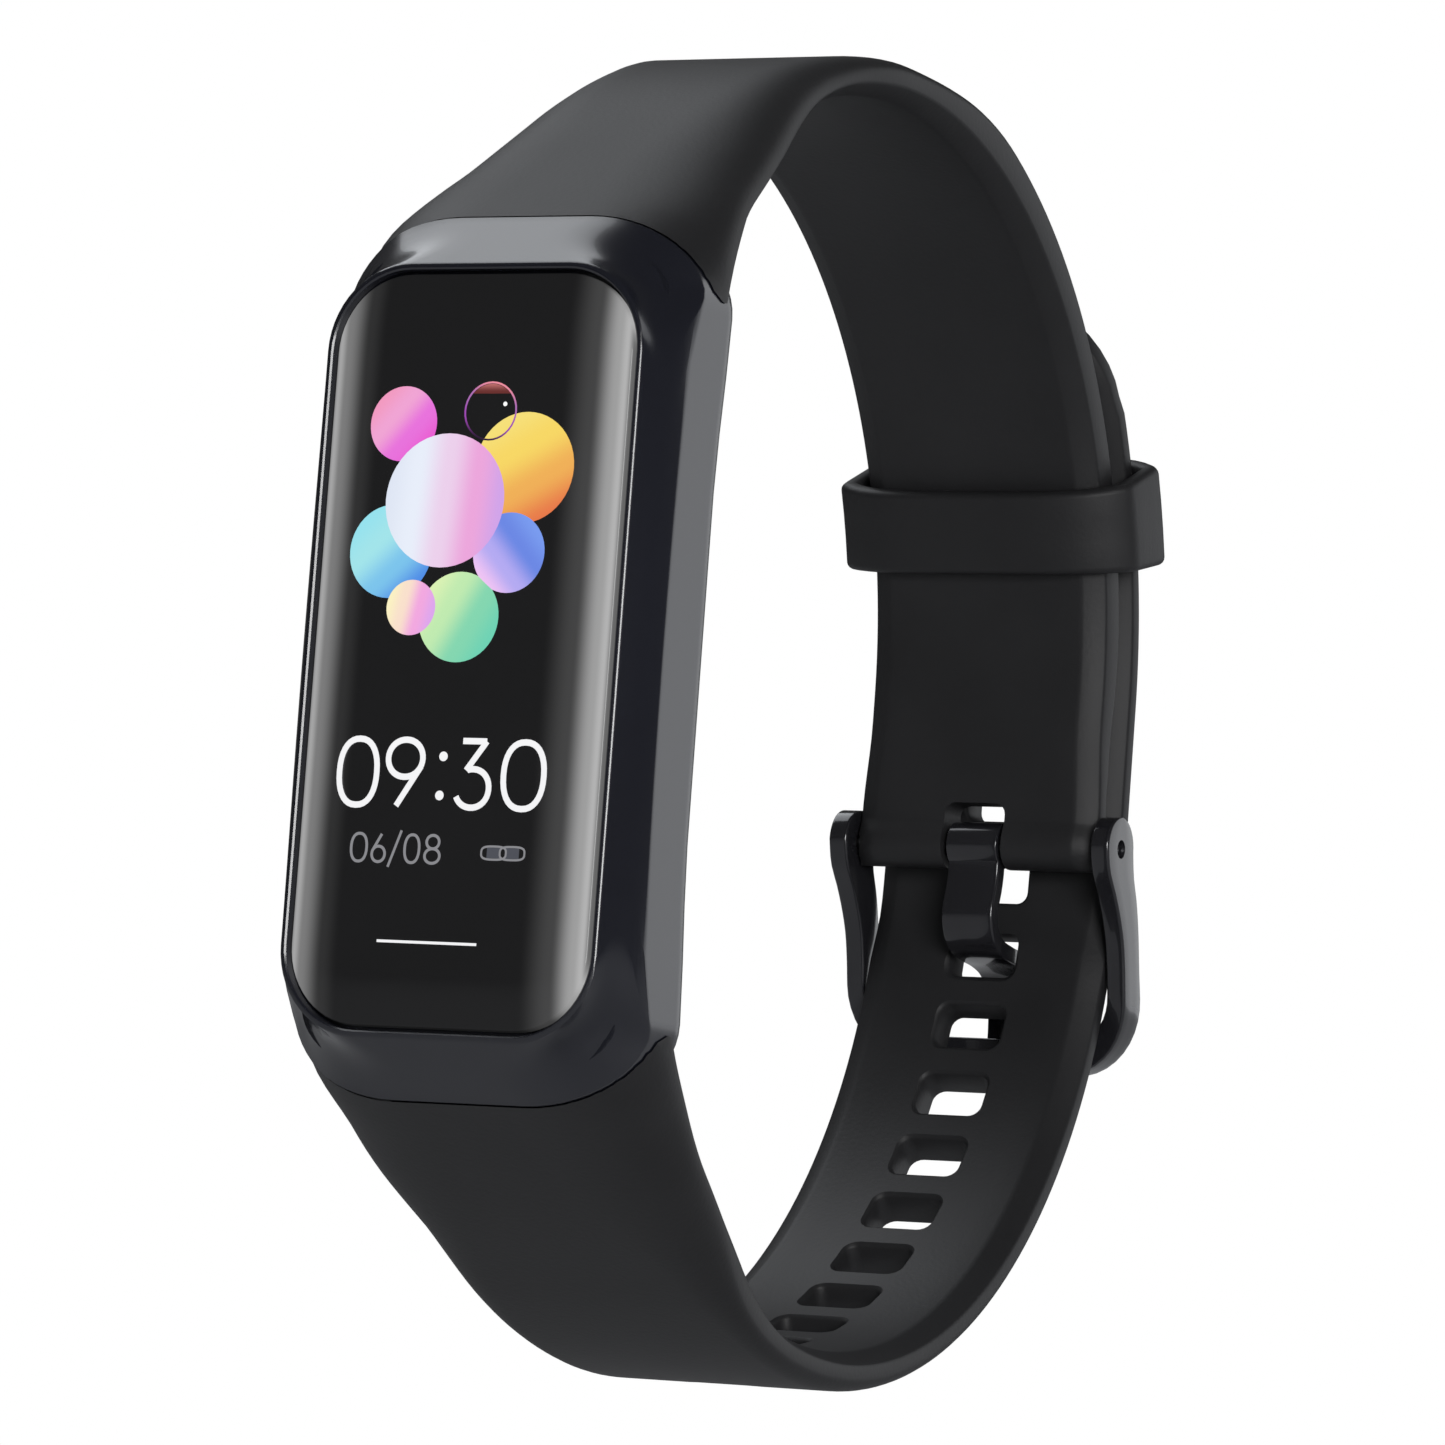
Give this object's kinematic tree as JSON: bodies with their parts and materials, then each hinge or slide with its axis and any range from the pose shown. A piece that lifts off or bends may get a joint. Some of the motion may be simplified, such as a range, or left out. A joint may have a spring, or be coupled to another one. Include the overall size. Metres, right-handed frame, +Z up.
{
  "type": "fitness tracker band",
  "caption": "Slim wrist tracker: glass-fronted case, two soft straps closed by a pin buckle, a sliding keeper loop and the works inside.",
  "frame": {"origin": "centre of the flat sensor window that rests on the wrist", "axes": "+X across the strap, along the wrist; +Y from the case through the loop to the buckle, so the display faces -Y; +Z up along the display"},
  "size_m": [0.0194, 0.0645, 0.0674],
  "materials": {
    "housing": "glossy near-black with a blue cast",
    "glass": "polished, dark",
    "foam": "matte foam",
    "display": "glossy black",
    "flex": "amber ribbon",
    "board": "solder mask",
    "board_black": "solder mask",
    "steel": "bright",
    "battery": "foil",
    "tungsten": "dull metal",
    "cover": "satin black",
    "seal": "matte",
    "window": "glossy black",
    "lamp": "clear green",
    "gold": "gold plated",
    "strap": "matte black",
    "buckle": "glossy black"
  },
  "bodies": {
    "case": {"housing": "housing", "cover_glass": "glass", "glass_gasket": "foam", "display_panel": "display", "display_flex": "flex", "main_board": "board", "shield_can": "steel", "battery": "battery", "motor_can": "steel", "motor_cap": "steel", "motor_shaft": "steel", "back_cover": "cover", "back_cover_seal": "seal", "sensor_window": "window", "optical_board": "board_black", "sensor_lamp_upper": "lamp", "sensor_lamp_lower": "lamp", "light_detector": "display", "charging_contact_left": "gold", "charging_contact_right": "gold", "upper_strap_front": "strap", "lower_strap_front": "strap", "upper_lug_bar_barrel": "steel", "upper_lug_bar_spring": "steel", "lower_lug_bar_barrel": "steel", "lower_lug_bar_spring": "steel"},
    "rotor": {"motor_rotor": "tungsten"},
    "rear_loop": {"upper_strap_rear": "strap", "lower_strap_rear": "strap", "buckle_bar_barrel": "steel", "buckle_bar_spring": "steel"},
    "strap_tip": {"lower_strap_tip": "strap"},
    "keeper": {"keeper_loop": "strap"},
    "buckle_frame": {"buckle_frame": "buckle"},
    "tongue": {"buckle_tongue": "buckle"},
    "upper_lug_bar_pin_left": {"upper_lug_bar_pin_left": "steel"},
    "upper_lug_bar_pin_right": {"upper_lug_bar_pin_right": "steel"},
    "lower_lug_bar_pin_left": {"lower_lug_bar_pin_left": "steel"},
    "lower_lug_bar_pin_right": {"lower_lug_bar_pin_right": "steel"},
    "buckle_bar_pin_left": {"buckle_bar_pin_left": "steel"},
    "buckle_bar_pin_right": {"buckle_bar_pin_right": "steel"}
  },
  "joints": [
    {"name": "loop_flex", "type": "slide", "parent": "case", "child": "rear_loop", "axis": [0, 1, 0], "range_m": [-0.0015, 0.002], "stiffness_N_per_m": 400, "deforming": ["upper_strap_front", "lower_strap_front"]},
    {"name": "keeper_slide", "type": "hinge", "parent": "rear_loop", "child": "keeper", "pos_m": [0, 0.0195, 0.0051], "axis": [1, 0, 0], "range_deg": [-12, 0]},
    {"name": "tip_flex", "type": "hinge", "parent": "rear_loop", "child": "strap_tip", "pos_m": [0, 0.04703, 0.01913], "axis": [1, 0, 0], "range_deg": [-15, 0], "stiffness_Nm_per_rad": 0.004},
    {"name": "frame_pivot", "type": "hinge", "parent": "rear_loop", "child": "buckle_frame", "pos_m": [0, 0.0473, -0.0029], "axis": [1, 0, 0], "range_deg": [0, 5]},
    {"name": "tongue_pivot", "type": "hinge", "parent": "buckle_frame", "child": "tongue", "pos_m": [0, 0.0473, -0.0029], "axis": [1, 0, 0], "range_deg": [0, 2]},
    {"name": "rotor_spin", "type": "hinge", "parent": "case", "child": "rotor", "pos_m": [0, -0.007, -0.0122], "axis": [0, 1, 0], "continuous": true},
    {"name": "upper_lug_bar_pin_left_push", "type": "slide", "parent": "case", "child": "upper_lug_bar_pin_left", "axis": [1, 0, 0], "range_m": [0, 0.0011], "stiffness_N_per_m": 200, "springref_m": -0.0012, "deforming": ["upper_lug_bar_spring"]},
    {"name": "upper_lug_bar_pin_right_push", "type": "slide", "parent": "case", "child": "upper_lug_bar_pin_right", "axis": [-1, 0, 0], "range_m": [0, 0.0011], "stiffness_N_per_m": 200, "springref_m": -0.0012, "deforming": ["upper_lug_bar_spring"]},
    {"name": "lower_lug_bar_pin_left_push", "type": "slide", "parent": "case", "child": "lower_lug_bar_pin_left", "axis": [1, 0, 0], "range_m": [0, 0.0011], "stiffness_N_per_m": 200, "springref_m": -0.0012, "deforming": ["lower_lug_bar_spring"]},
    {"name": "lower_lug_bar_pin_right_push", "type": "slide", "parent": "case", "child": "lower_lug_bar_pin_right", "axis": [-1, 0, 0], "range_m": [0, 0.0011], "stiffness_N_per_m": 200, "springref_m": -0.0012, "deforming": ["lower_lug_bar_spring"]},
    {"name": "buckle_bar_pin_left_push", "type": "slide", "parent": "rear_loop", "child": "buckle_bar_pin_left", "axis": [1, 0, 0], "range_m": [0, 0.0009], "stiffness_N_per_m": 200, "springref_m": -0.0012, "deforming": ["buckle_bar_spring"]},
    {"name": "buckle_bar_pin_right_push", "type": "slide", "parent": "rear_loop", "child": "buckle_bar_pin_right", "axis": [-1, 0, 0], "range_m": [0, 0.0009], "stiffness_N_per_m": 200, "springref_m": -0.0012, "deforming": ["buckle_bar_spring"]}
  ]
}
